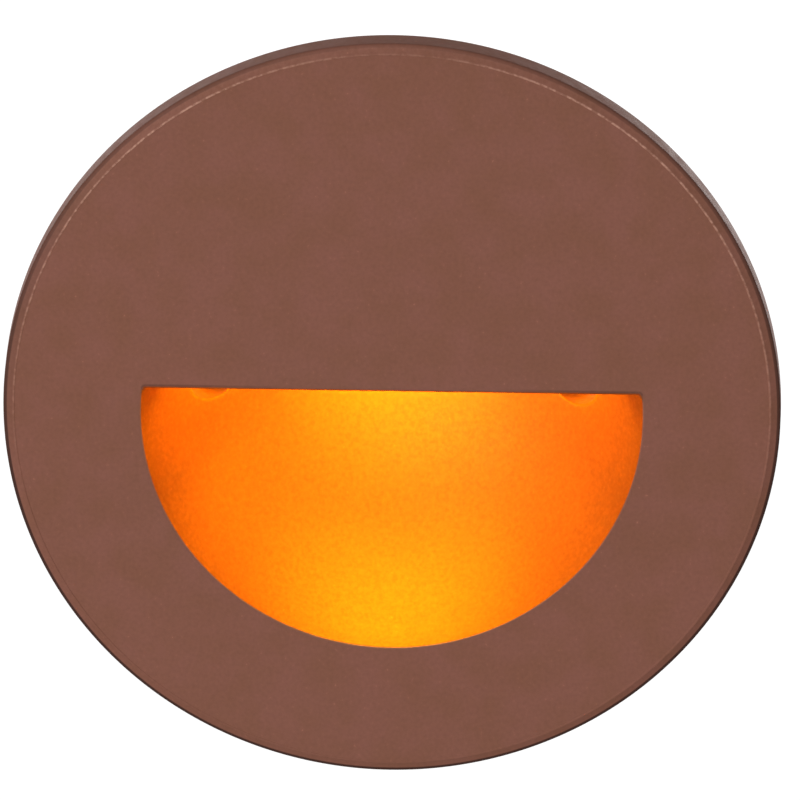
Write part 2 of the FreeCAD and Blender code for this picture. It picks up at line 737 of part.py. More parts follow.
def make_carrier():
    """Aluminium angle on the lamp board: a plate, a flange on the face's back and cooling ribs."""
    body = new_body("lamp_carrier")
    plate_top = lamp_top + dim.sink_plate
    block(body, (-dim.carrier_half, dim.carrier_half), (ZERO, dim.carrier_back), (lamp_top, plate_top))
    block(body, (-dim.carrier_flange, dim.carrier_flange), (ZERO, dim.sink_plate),
          (lamp_top, dim.carrier_top))
    ribs = new_sketch(body, "plan", offset=lamp_top)
    for step in (-1, 0, 1):
        centre = step * dim.rib_step
        draw_box(ribs, centre - dim.rib_half, centre + dim.rib_half, dim.sink_plate - ROOT, dim.carrier_back)
    pad(body, ribs, dim.carrier_top - lamp_top)
    holes = new_sketch(body, "plan", offset=lamp_top)
    for side in (-1, 1):
        draw_circle(holes, side * lamp_screw_x, lamp_screw_y, SMALL_CLEAR)
    pocket(body, holes, dim.sink_plate)
    bore_pair(body, CARRIER_SCREW_X, CARRIER_SCREW_Z, SMALL_CLEAR, ZERO, dim.sink_plate)
    return body


# ---- the driver ----

def make_driver_board():
    body = new_body("driver_board")
    sketch = new_sketch(body, "front", offset=dim.driver_front)
    draw_box(sketch, -dim.driver_half_x, dim.driver_half_x, -dim.driver_half_z, dim.driver_half_z)
    pad(body, sketch, dim.board_thick)
    for end in (-1, 1):
        bore_pair(body, dim.driver_hole_x, end * dim.driver_hole_z, SMALL_CLEAR,
                  dim.driver_front, driver_back)
    return body


def turned_part(name, profile, across, up):
    """A round component standing on the back of the driver board; profile is (height, radius) pairs."""
    body = new_body(name)
    sketch = new_sketch(body, "side")
    height = profile[-1][0]
    draw_outline(sketch, [(0, 0), (height, 0)] + profile[::-1])
    turn(body, sketch)
    place(body, across, driver_back, up)
    return body


def boxed_part(name, wide, tall, high, across, up):
    """A square component standing on the back of the driver board."""
    body = new_body(name)
    block(body, (-wide / 2, wide / 2), (ZERO, high), (-tall / 2, tall / 2))
    place(body, across, driver_back, up)
    return body


def make_terminal():
    """Two-way terminal block with its wire mouths facing the gland."""
    high = 7.5
    mouth_deep = 4.5
    mouth_rad = 1.3
    mouth_x = 2.5
    terminal = boxed_part("supply_terminal", wide=10.0, tall=6.4, high=high, across=0, up=-13.5)
    mouths = new_sketch(terminal, "front", offset=as_size(high - mouth_deep))
    for side in (-1, 1):
        draw_circle(mouths, side * mouth_x, 0, mouth_rad)
    pocket(terminal, mouths, mouth_deep)
    return terminal


def make_driver_parts():
    crimped_can = [(0, 3.7), (0.4, 4.0), (1.0, 4.0), (1.4, 3.8), (1.8, 4.0), (8.6, 4.0), (9.0, 3.6)]
    bobbin = [(0, 4.0), (1.2, 4.0), (1.2, 3.3), (4.8, 3.3), (4.8, 4.0), (6.0, 4.0)]
    return [
        turned_part("capacitor", crimped_can, across=9.0, up=10.0),
        turned_part("inductor", bobbin, across=-9.0, up=10.0),
        boxed_part("rectifier", wide=6.0, tall=5.0, high=2.5, across=9.5, up=-4.0),
        boxed_part("driver_chip", wide=5.0, tall=4.0, high=1.6, across=-9.0, up=-4.0),
        make_terminal()]


def rounded_path(points, share=0.45):
    """Straight runs joined by tangent arcs, each as large as its two runs allow."""
    edges = []
    radii = []
    start = points[0]
    for before, corner, after in zip(points, points[1:], points[2:]):
        inward = (before - corner).normalize()
        outward = (after - corner).normalize()
        half_turn = (math.pi - inward.getAngle(outward)) / 2
        setback = share * min((before - corner).Length, (after - corner).Length)
        radii.append(setback / math.tan(half_turn))
        first = corner + inward * setback
        last = corner + outward * setback
        bisector = (inward + outward).normalize()
        middle = corner + bisector * radii[-1] * (1 / math.cos(half_turn) - 1)
        edges += [Part.LineSegment(start, first).toShape(), Part.Arc(first, middle, last).toShape()]
        start = last
    edges.append(Part.LineSegment(start, points[-1]).toShape())
    return Part.Wire(edges), radii


def tube_along(path, radius, start, heading):
    circle = Part.Wire([Part.makeCircle(radius, start, heading)])
    return path.makePipeShell([circle], True, False)


def make_lead(name, side):
    """An insulated lead from the top of the lamp board to the front of the driver board."""
    radius = dim.lead_rad.value
    across = side * dim.lead_x.value
    level = lamp_top.value + radius + 0.02
    pad_y = dim.carrier_back.value + 0.5
    points = [Vector(across, pad_y, level), Vector(across, pad_y + 3.0, level),
              Vector(across, pad_y + 5.8, level - 2.6), Vector(across, pad_y + 8.0, level - 4.0),
              Vector(across, dim.driver_front.value, level - 4.0)]
    path, radii = rounded_path(points)
    lead = doc.addObject("Part::Feature", name)
    lead.Label = name
    lead.Shape = tube_along(path, radius, points[0], Vector(0, 1, 0))
    expected = path.Length * math.pi * radius * radius
    print(f"{name}: radii {[round(value, 2) for value in radii]} mm, "
          f"length {path.Length:.1f} mm, volume over section times length "
          f"{lead.Shape.Volume / expected:.4f}")
    return lead


# ---- the cable gland ----

WASHER_THICK = as_size(1.0)
GLAND_HEX = as_size(4.0)
NUT_GAP = as_size(0.6)
NUT_LIP = as_size(2.0)
LOCKNUT_THICK = as_size(3.6)
NECK_RAD = as_size(5.85)
THREAD_FIT = as_size(0.02)
INSERT_FIT = as_size(0.05)
gland_flange = dim.can_back + WASHER_THICK
nut_front = gland_flange + GLAND_HEX + NUT_GAP
insert_back = nut_front + dim.insert_len
nut_back = insert_back + NUT_LIP


def make_gland_body():
    """Hexagon with a threaded tail through the back wall and a neck for the dome nut."""
    body = new_body("gland_body")
    neck_back = nut_front + 4.4
    tail_front = back_front - 4.5
    tail_lead = 0.6
    bore = dim.cord_bore + 0.8
    seat = dim.insert_rad + INSERT_FIT
    sketch = new_sketch(body, "side")
    draw_outline(sketch, [
        (tail_front, bore), (nut_front, bore), (nut_front, seat),
        (neck_back, seat), (neck_back, NECK_RAD), (tail_front, NECK_RAD)])
    turn(body, sketch)
    inside = (bore + NECK_RAD) / 2
    thread = new_sketch(body, "side")
    draw_box(thread, tail_front + tail_lead, gland_flange + ROOT, inside, dim.gland_tail)
    turn(body, thread)
    hexagon = new_sketch(body, "front", offset=gland_flange)
    draw_hexagon(hexagon, dim.gland_flats)
    draw_circle(hexagon, ZERO, ZERO, inside)
    pad(body, hexagon, GLAND_HEX)
    return body


def make_gland_nut():
    """Dome nut: hexagon with a rounded end that closes on the insert."""
    body = new_body("gland_nut")
    hex_len = as_size(5.0)
    lap = 0.2
    hexagon = new_sketch(body, "front", offset=nut_front)
    draw_hexagon(hexagon, dim.gland_flats)
    draw_circle(hexagon, ZERO, ZERO, NECK_RAD + INSERT_FIT)
    pad(body, hexagon, hex_len)
    dome_rad = 4.5
    dome_high = 2.6
    dome_front = nut_front + hex_len - lap
    flat_rad = dim.gland_flats / 2 - 0.1
    end_rad = dim.insert_rad + 0.4
    insert_hole = dim.insert_rad + INSERT_FIT
    mouth = dim.cord_bore + 0.7
    sketch = new_sketch(body, "side")
    draw_outline(sketch, [
        (dome_front, insert_hole), (insert_back, insert_hole), (insert_back, mouth), (nut_back, mouth),
        (nut_back, end_rad), (nut_back - dome_high, flat_rad), (dome_front, flat_rad)], {4: dome_rad})
    turn(body, sketch)
    return body


def make_locknut():
    body = new_body("gland_locknut")
    sketch = new_sketch(body, "front", offset=back_front - LOCKNUT_THICK)
    draw_hexagon(sketch, dim.locknut_flats)
    draw_circle(sketch, ZERO, ZERO, dim.gland_tail + THREAD_FIT)
    pad(body, sketch, LOCKNUT_THICK)
    return body


def make_gland():
    washer_rad = dim.gland_flats / 2 + 0.6
    insert = turned_ring("gland_insert", dim.cord_bore, dim.insert_rad, nut_front, insert_back)
    washer = turned_ring("gland_washer", dim.gland_hole, washer_rad, dim.can_back, gland_flange)
    return [make_gland_body(), insert, make_gland_nut(), washer, make_locknut()]


# ---- the spring clips ----

def on_hinge(body):
    """Put a piece drawn about the origin on the right hinge, turned out to its rest angle."""
    place(body, dim.pin_x, dim.pin_y, ZERO)
    body.setExpression("Placement.Rotation.Angle", dim.rest_turn.text)
    doc.recompute()


def right_clip_arm():
    """Spring steel arm: a blade with a curled toe and two ears round the hinge pin.

    The heel on each ear stops the arm on the pocket's floor, at its rest angle.
    """
    body = new_body("clip_arm_drawn")
    half = dim.arm_sheet / 2
    outer_curl = dim.toe_rad + dim.arm_sheet
    toe_x = half + dim.toe_rad
    blade = new_sketch(body, "plan", offset=-dim.arm_half)
    draw_outline(
        blade,
        [(-half, -dim.arm_start), (-half, -dim.arm_len), (toe_x, -dim.arm_len - outer_curl),
         (toe_x, -dim.arm_len - dim.toe_rad), (half, -dim.arm_len), (half, -dim.arm_start)],
        {1: outer_curl, 3: -dim.toe_rad})
    pad(body, blade, dim.arm_half * 2)
    for low in (-dim.arm_half, dim.arm_half - dim.arm_sheet):
        ear = new_sketch(body, "plan", offset=low)
        draw_outline(ear, [(-half, -dim.ear_foot), (half, -dim.ear_foot), (dim.ear_rad, ZERO),
                           (-dim.ear_rad, ZERO)])
        pad(body, ear, dim.arm_sheet)
        heel = new_sketch(body, "plan", offset=low)
        draw_outline(heel, [(-dim.ear_rad, ZERO), (dim.ear_rad, ZERO), (dim.heel_out, dim.heel_high),
                            (-dim.heel_in, dim.heel_high)])
        pad(body, heel, dim.arm_sheet)
        eye = new_sketch(body, "plan", offset=low)
        draw_circle(eye, ZERO, ZERO, dim.ear_rad)
        pad(body, eye, dim.arm_sheet)
        hole = new_sketch(body, "plan", offset=low)
        draw_circle(hole, ZERO, ZERO, dim.pin_rad + dim.hinge_gap)
        pocket(body, hole, dim.arm_sheet)
    on_hinge(body)
    return body


def biarc(start, heading, end, final_heading):
    """Two arcs that join two points with the given directions."""
    gap = end - start
    both = heading + final_heading
    spread = 2 * (1 - heading.dot(final_heading))
    along = gap.dot(both)
    reach = (-along + math.sqrt(along * along + spread * gap.dot(gap))) / spread
    corners = (start + heading * reach, end - final_heading * reach)
    joint = (corners[0] + corners[1]) * 0.5
    arcs = []
    for first, corner, last in ((start, corners[0], joint), (joint, corners[1], end)):
        half_turn = (corner - first).getAngle(last - corner) / 2
        weight = math.cos(half_turn)
        middle = (first + corner * 2 * weight + last) * (1 / (2 + 2 * weight))
        arcs.append(Part.Arc(first, middle, last).toShape())
    return arcs


def coil_point(angle, turned):
    """A point of the spring's middle line: angle is from +X and turned counts from the coil's start."""
    radius = dim.coil_rad.value
    pitch = dim.coil_pitch.value
    height = pitch * (turned / (2 * math.pi) - coil_sweep() / (4 * math.pi))
    return Vector(radius * math.cos(angle), radius * math.sin(angle), height)


def coil_heading(angle):
    radius = dim.coil_rad.value
    climb = dim.coil_pitch.value / (2 * math.pi)
    return Vector(-radius * math.sin(angle), radius * math.cos(angle), climb).normalize()


def leg_lean():
    """Angle between the moving leg and the arm, so that the leg ends on the arm's inner face."""
    air = 0.03
    rest = dim.arm_sheet.value / 2 + dim.wire_rad.value + air
    return math.asin((dim.coil_rad.value - rest) / dim.leg_len.value)


def coil_sweep():
    """How far the wire winds between its two legs, in radians."""
    return 2 * math.pi * dim.coil_turns.value + math.radians(dim.rest_turn.value) + leg_lean()


def spring_path():
    """One unbroken line: foot on the pocket floor, coil round the pin, leg along the arm."""
    stretches = 4 * int(dim.coil_turns.value) + 2
    step = coil_sweep() / stretches
    first_angle = math.pi
    start = coil_point(first_angle, 0)
    start_heading = coil_heading(first_angle)
    foot = start - start_heading * dim.foot_len.value
    edges = [Part.LineSegment(foot, start).toShape()]
    for number in range(stretches):
        turned = number * step
        edges += biarc(coil_point(first_angle + turned, turned), coil_heading(first_angle + turned),
                       coil_point(first_angle + turned + step, turned + step),
                       coil_heading(first_angle + turned + step))
    last_angle = first_angle + coil_sweep()
    end = coil_point(last_angle, coil_sweep())
    edges.append(Part.LineSegment(end, end + coil_heading(last_angle) * dim.leg_len.value).toShape())
    return Part.Wire(edges), foot, start_heading


def least_gap_to_itself(path, wire_rad):
    """Least free distance between parts of the wire more than half a turn apart along it."""
    spacing = 0.15
    points = path.discretize(Distance=spacing)
    skip = int(math.pi * dim.coil_rad.value / spacing)
    return min((points[one] - points[two]).Length
               for one in range(len(points)) for two in range(one + skip, len(points))) - 2 * wire_rad


def right_spring():
    path, start, heading = spring_path()
    wire_rad = dim.wire_rad.value
    spring = doc.addObject("Part::Feature", "clip_spring_drawn")
    spring.Shape = tube_along(path, wire_rad, start, heading)
    spring.Placement = FreeCAD.Placement(Vector(dim.pin_x.value, dim.pin_y.value, 0), FreeCAD.Rotation())
    expected = path.Length * math.pi * wire_rad * wire_rad
    print(f"clip spring: least gap to itself {least_gap_to_itself(path, wire_rad):.2f} mm, "
          f"volume over section times length {spring.Shape.Volume / expected:.4f}")
    return spring


def right_pin():
    """Plain pin with chamfered ends, pressed into the pocket's side walls."""
    body = new_body("clip_pin_drawn")
    edge = as_size(0.2)
    sketch = new_sketch(body, "side")
    draw_outline(sketch, [
        (ZERO, -dim.pin_half), (ZERO, dim.pin_half), (dim.pin_rad - edge, dim.pin_half),
        (dim.pin_rad, dim.pin_half - edge), (dim.pin_rad, edge - dim.pin_half),
        (dim.pin_rad - edge, -dim.pin_half)])
    turn(body, sketch, axis="V_Axis")
    place(body, dim.pin_x, dim.pin_y, ZERO)
    doc.recompute()
    return body


def both_sides(name, source):
    """The right-hand piece under its own name, and its mirror image for the left."""
    right = grouped(f"{name}_right", [source])
    left = grouped(f"{name}_left", [mirrored(source, f"{source.Name}_mirrored", Vector(1, 0, 0))])
    return [right, left]


def make_clips():
    return (both_sides("clip_arm", right_clip_arm()) + both_sides("clip_pin", right_pin())
            + both_sides("clip_spring", right_spring()))


# ---- the whole light ----

def make_all():
    pieces = [make_face()] + make_face_seals() + [make_can()]
    pieces += [make_recess_screws(), make_carrier_screws(), make_lamp_screws(), make_driver_screws()]
    pieces += make_lens() + [make_lamp_board(), make_emitters(), make_carrier()]
    pieces += [make_driver_board()] + make_driver_parts()
    pieces += [make_lead("lamp_lead_red", 1), make_lead("lamp_lead_black", -1)]
    return pieces + make_gland() + make_clips()


def check_document(pieces):
    """Stop on any failed object or unsound solid before a file is written."""
    for item in doc.Objects:
        if "Invalid" in item.State or "Error" in item.State:
            raise RuntimeError(f"{item.Label} failed: {item.State}")
    for piece in pieces:
        if piece.Shape.isNull() or not piece.Shape.isValid() or not piece.Shape.Solids:
            raise RuntimeError(f"{piece.Label} has no sound solid")


def write_parts(pieces):
    os.makedirs("parts", exist_ok=True)
    for piece in pieces:
        piece.Shape.exportStep(f"parts/{piece.Label}.step")


light = make_all()
doc.recompute()
check_document(light)
write_parts(light)
print(f"{len(light)} nodes written")
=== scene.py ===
"""The looks of a round recessed step light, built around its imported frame. Metres, +Z up.

The face looks towards -Y and the housing goes into the wall towards +Y.
"""

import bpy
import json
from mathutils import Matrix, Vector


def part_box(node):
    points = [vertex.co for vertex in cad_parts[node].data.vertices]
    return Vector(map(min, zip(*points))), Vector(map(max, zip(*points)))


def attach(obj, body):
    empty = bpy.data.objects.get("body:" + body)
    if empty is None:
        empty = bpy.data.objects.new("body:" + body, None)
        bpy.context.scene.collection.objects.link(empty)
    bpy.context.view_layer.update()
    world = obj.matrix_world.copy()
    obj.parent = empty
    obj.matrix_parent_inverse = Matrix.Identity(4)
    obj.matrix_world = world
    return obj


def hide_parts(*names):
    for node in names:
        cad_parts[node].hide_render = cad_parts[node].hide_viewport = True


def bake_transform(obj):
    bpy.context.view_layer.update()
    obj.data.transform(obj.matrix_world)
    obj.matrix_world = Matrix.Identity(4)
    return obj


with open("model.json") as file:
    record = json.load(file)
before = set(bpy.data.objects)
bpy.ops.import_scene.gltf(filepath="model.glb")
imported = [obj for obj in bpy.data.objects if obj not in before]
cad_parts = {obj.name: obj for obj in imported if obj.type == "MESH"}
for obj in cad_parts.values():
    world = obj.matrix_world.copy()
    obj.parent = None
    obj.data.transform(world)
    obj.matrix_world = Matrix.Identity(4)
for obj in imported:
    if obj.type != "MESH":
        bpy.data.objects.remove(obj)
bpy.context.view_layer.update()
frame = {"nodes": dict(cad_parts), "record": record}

import json
import math

import bmesh
import bpy
from mathutils import Matrix, Vector

MM = 0.001

# ---- the face's sizes: its reach comes from the frame, the rest is in metres ----

face_low, face_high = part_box("face_casting")
FACE_FRONT = face_low.y
FACE_RAD = face_high.x
FACE_THICK = -FACE_FRONT

# the disc's edge: a fine ridge, a bevel outside it, a tight corner, and a rounding at the back
EDGE_ROUND = 1.0 * MM
RIDGE_HIGH = 0.05 * MM
RIDGE_WIDE = 0.14 * MM
BEVEL_DEEP = 0.22 * MM
CORNER_RAD = 0.3 * MM
BACK_ROUND = 0.4 * MM
FLAT_FRONT = FACE_FRONT + RIDGE_HIGH
CORNER_START = FLAT_FRONT + BEVEL_DEEP

# the scoop: a ball's cap about an axis below the disc's own, with a round wall and a straight lid
MOUTH_RAD = 24.6 * MM
MOUTH_DROP = 0.4 * MM
SCOOP_DEPTH = 14.2 * MM
SCOOP_WALL = 1.8 * MM
SCOOP_RAD = (MOUTH_RAD ** 2 + SCOOP_DEPTH ** 2) / (2 * SCOOP_DEPTH)
SCOOP_CENTRE = SCOOP_DEPTH - FACE_THICK - SCOOP_RAD

# the mouth's soft lip, along the lid's edge, along the round wall and in the two corners
LID_EDGE = 1.88 * MM
LID_LIP_HIGH = 0.5 * MM
LID_LIP_DEEP = 0.25 * MM
LIP_ROUND = 0.3 * MM
LIP_CORNER = 0.5 * MM

# the lamp's shelf over the scoop; boxes are (low, high) across, deep and up
CEILING = 9.0 * MM
SHELF_TOP = 10.6 * MM
SHELF_FRONT = -0.2 * MM
LAMP_FRAME = ((-17.6 * MM, 17.6 * MM), (SHELF_FRONT, 11.5 * MM), (9.6 * MM, 13.6 * MM))
LENS_SEAT = ((-12.8 * MM, 12.8 * MM), (0.8 * MM, 9.6 * MM), (SHELF_TOP, 14.0 * MM))
LAMP_WINDOW = ((-11.4 * MM, 11.4 * MM), (1.6 * MM, 7.4 * MM), (8.5 * MM, 13.0 * MM))

# the concave holes of the recess screws, with the bosses round them
SCREW_X = 17.8 * MM
SCREW_UP = 0.15 * MM
SCREW_CLEAR = 1.4 * MM
SINK_RAD = 2.2 * MM
SINK_FLOOR = 9.5 * MM
SINK_WALL = 1.4 * MM
SINK_SOFT = 0.3 * MM
BOSS_BACK = 12.0 * MM

# grooves in the face's back: inner radius, outer radius and depth
SEAL_GROOVE = (25.3 * MM, 27.3 * MM, 1.6 * MM)
GASKET_GROOVE = (30.0 * MM, 34.0 * MM, 1.2 * MM)

GASKET_CROWN = 0.25 * MM   # how much higher the wall gasket is in its middle than at its edges
INSIDE = 0.5 * MM          # how far a joined solid or a cut starts inside what is there
FAR = 80 * MM              # beyond every surface

# points closer than this are one: in a new mesh, and in a CAD node's mesh
WELD = 1e-7
NODE_WELD = 1e-6

# angles on a CAD node, in degrees: facets closer than the first are one face, edges sharper than the
# second are rounded off, and edges sharper than the third are shaded hard
NODE_FLAT = 0.4
NODE_SHARP = 35
NODE_HARD = 40


# ---- mesh helpers ----

def link(name, data):
    """A new object in the scene."""
    piece = bpy.data.objects.new(name, data)
    bpy.context.scene.collection.objects.link(piece)
    return piece


def mesh_from(name, points, faces):
    """A piece from points and faces, with coincident points joined and its normals outward."""
    mesh = bpy.data.meshes.new(name)
    mesh.from_pydata([tuple(point) for point in points], [], faces)
    build = bmesh.new()
    build.from_mesh(mesh)
    bmesh.ops.remove_doubles(build, verts=build.verts, dist=WELD)
    bmesh.ops.recalc_face_normals(build, faces=build.faces)
    build.to_mesh(mesh)
    build.free()
    return link(name, mesh)


def loft(name, loops):
    """Solid through closed loops of equal count, capped at both ends."""
    count = len(loops[0])
    points = [point for loop in loops for point in loop]
    faces = [list(range(count)), list(range(len(points) - count, len(points)))]
    for base in range(0, len(points) - count, count):
        for step in range(count):
            after = (step + 1) % count
            faces.append([base + step, base + after, base + count + after, base + count + step])
    return mesh_from(name, points, faces)


def ring_points(radius, y, segments, across=0.0, up=0.0):
    """A circle square to the Y axis."""
    return [(across + radius * math.cos(2 * math.pi * step / segments), y,
             up + radius * math.sin(2 * math.pi * step / segments)) for step in range(segments)]


def lathe(name, profile, segments=256, drop=0.0):
    """Solid about the Y axis from (y, radius) pairs, closed by flat ends."""
    return loft(name, [ring_points(radius, y, segments, up=-drop) for y, radius in profile])


def tube(name, profile, segments=256):
    """Ring about the Y axis from a closed run of (y, radius) pairs."""
    loops = [ring_points(radius, y, segments) for y, radius in profile + profile[:1]]
    ring = loft(name, loops)
    build = bmesh.new()
    build.from_mesh(ring.data)
    # The loft's caps are its only faces with more than four corners, and the ring needs none.
    caps = [face for face in build.faces if len(face.verts) > 4]
    bmesh.ops.delete(build, geom=caps, context="FACES_ONLY")
    bmesh.ops.recalc_face_normals(build, faces=build.faces)
    build.to_mesh(ring.data)
    build.free()
    return ring


def box(name, across, deep, up):
    """A box from (low, high) pairs along X, Y and Z."""
    corners = ((0, 0), (1, 0), (1, 1), (0, 1))
    return loft(name, [[(across[a], y, up[b]) for a, b in corners] for y in deep])


def rod(name, radius, front, back, across=0.0, up=0.0, segments=64):
    """A cylinder along Y."""
    return loft(name, [ring_points(radius, y, segments, across, up) for y in (front, back)])


def quarter(corner, start, end, steps):
    """Quarter-round of (y, radius) points from start to end, in the corner's angle."""
    points = []
    for step in range(steps + 1):
        turn = step / steps * math.pi / 2
        points.append(tuple(c + (s - c) * (1 - math.sin(turn)) + (e - c) * (1 - math.cos(turn))
                            for c, s, e in zip(corner, start, end)))
    return points


def combine(piece, tool, operation):
    """Boolean of two solids; the tool is used up."""
    step = piece.modifiers.new("combine", "BOOLEAN")
    step.object = tool
    step.operation = operation
    step.solver = "MANIFOLD"
    bake_modifiers(piece)
    bpy.data.objects.remove(tool)


def bake_modifiers(piece):
    """Apply the piece's modifiers to its mesh."""
    graph = bpy.context.evaluated_depsgraph_get()
    mesh = bpy.data.meshes.new_from_object(piece.evaluated_get(graph))
    piece.modifiers.clear()
    old = piece.data
    piece.data = mesh
    bpy.data.meshes.remove(old)


def smooth(piece, angle):
    """Smooth shading between edges sharper than the angle in degrees, with flat faces kept flat."""
    for face in piece.data.polygons:
        face.use_smooth = True
    piece.data.set_sharp_from_angle(angle=math.radians(angle))
    even = piece.modifiers.new("even_normals", "WEIGHTED_NORMAL")
    even.keep_sharp = True
    bake_modifiers(piece)


def name_piece(piece, name, slot, nodes):
    """Name a finished piece, give it its slot's material and let it stand for its nodes."""
    piece.name = name
    piece.data.name = name
    piece.data.materials.clear()
    piece.data.materials.append(MATERIALS[slot])
    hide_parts(*nodes)


def place_piece(piece, name, slot, body, nodes):
    """Name a finished piece and let it ride on one body."""
    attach(piece, body)
    name_piece(piece, name, slot, nodes)


def dressed_node(node, name, slot, edge, body="light"):
    """A CAD node's own shape with its sharp edges rounded off, in the node's place."""
    piece = link(name, frame["nodes"][node].data.copy())
    if "custom_normal" in piece.data.attributes:
        piece.data.attributes.remove(piece.data.attributes["custom_normal"])
    build = bmesh.new()
    build.from_mesh(piece.data)
    bmesh.ops.remove_doubles(build, verts=build.verts, dist=NODE_WELD)
    bmesh.ops.dissolve_limit(build, angle_limit=math.radians(NODE_FLAT), verts=build.verts, edges=build.edges)
    build.to_mesh(piece.data)
    build.free()
    rounding = piece.modifiers.new("rounded", "BEVEL")
    rounding.width = edge
    rounding.segments = 2
    rounding.limit_method = "ANGLE"
    rounding.angle_limit = math.radians(NODE_SHARP)
    rounding.use_clamp_overlap = True
    bake_modifiers(piece)
    smooth(piece, NODE_HARD)
    place_piece(piece, name, slot, body, [node])


# ---- node helpers for the materials ----

def new_material(name):
    """A material with its node tree and its principled shader."""
    material = bpy.data.materials.new(name)
    material.use_nodes = True
    tree = material.node_tree
    return material, tree, tree.nodes["Principled BSDF"]


def add_node(tree, kind, settings=(), **inputs):
    """A node with its settings and the values of its inputs, whose names have _ for a space."""
    node = tree.nodes.new(kind)
    for key, value in dict(settings).items():
        setattr(node, key, value)
    for key, value in inputs.items():
        node.inputs[key.replace("_", " ")].default_value = value
    return node


def object_place(tree, stretch=(1, 1, 1)):
    """The point on the piece, in its own metres; a small stretch draws patterns out along an axis."""
    place = add_node(tree, "ShaderNodeTexCoord").outputs["Object"]
    if stretch == (1, 1, 1):
        return place
    mapping = add_node(tree, "ShaderNodeMapping", Scale=stretch)
    tree.links.new(place, mapping.inputs["Vector"])
    return mapping.outputs["Vector"]


def noise(tree, place, size, detail=3.0):
    """Noise whose blotches are about the given size across, in metres."""
    node = add_node(tree, "ShaderNodeTexNoise", Scale=1 / size, Detail=detail, Roughness=0.55)
    tree.links.new(place, node.inputs["Vector"])
    return node.outputs["Fac"]


def ramp(tree, source, *stops):
    """Colours or grey levels at places between 0 and 1."""
    node = add_node(tree, "ShaderNodeValToRGB")
    tree.links.new(source, node.inputs["Fac"])
    while len(node.color_ramp.elements) < len(stops):
        node.color_ramp.elements.new(0.5)
    for element, (position, colour) in zip(node.color_ramp.elements, stops):
        element.position = position
        element.color = (*colour, 1.0) if isinstance(colour, tuple) else (colour, colour, colour, 1.0)
    return node.outputs["Color"]


def mix(tree, blend, share, first, second):
    """Blend two colours; each argument is a socket, a colour or a number."""
    node = add_node(tree, "ShaderNodeMix", {"data_type": "RGBA", "blend_type": blend})
    wanted = {"Factor_Float": share, "A_Color": first, "B_Color": second}
    for socket in node.inputs:
        if socket.identifier in wanted:
            value = wanted[socket.identifier]
            if isinstance(value, bpy.types.NodeSocket):
                tree.links.new(value, socket)
            else:
                socket.default_value = (*value, 1.0) if isinstance(value, tuple) else value
    return [socket for socket in node.outputs if socket.identifier == "Result_Color"][0]


def bump(tree, shader, *layers):
    """Bumps on each other, from (height socket, strength, depth in metres)."""
    normal = None
    for height, strength, depth in layers:
        node = add_node(tree, "ShaderNodeBump", Strength=strength, Distance=depth)
        tree.links.new(height, node.inputs["Height"])
        if normal:
            tree.links.new(normal, node.inputs["Normal"])
        normal = node.outputs["Normal"]
    tree.links.new(normal, shader.inputs["Normal"])


def tinted(colour, share):
    """The colour made darker or lighter by a share."""
    return tuple(min(1.0, channel * share) for channel in colour)


def finish(name, colour, rough, metal=0.0, grain=0.3 * MM, depth=0.01 * MM, vary=0.1, stretch=(1, 1, 1)):
    """A finish with fine grain, uneven gloss and slightly uneven colour."""
    material, tree, shader = new_material(name)
    place = object_place(tree, stretch)
    tone = ramp(tree, noise(tree, place, grain * 8, 4),
                (0.3, tinted(colour, 1 - vary)), (0.7, tinted(colour, 1 + vary)))
    gloss = ramp(tree, noise(tree, place, grain * 3), (0.3, rough * 0.8), (0.7, min(1.0, rough * 1.2)))
    tree.links.new(tone, shader.inputs["Base Color"])
    tree.links.new(gloss, shader.inputs["Roughness"])
    shader.inputs["Metallic"].default_value = metal
    bump(tree, shader, (noise(tree, place, grain), 0.4, depth))
    return material, tree, shader


def marked(tree, name):
    """A mark that the mesh carries, from 0 to 1."""
    return add_node(tree, "ShaderNodeAttribute", {"attribute_name": name}).outputs["Fac"]


# ---- materials ----

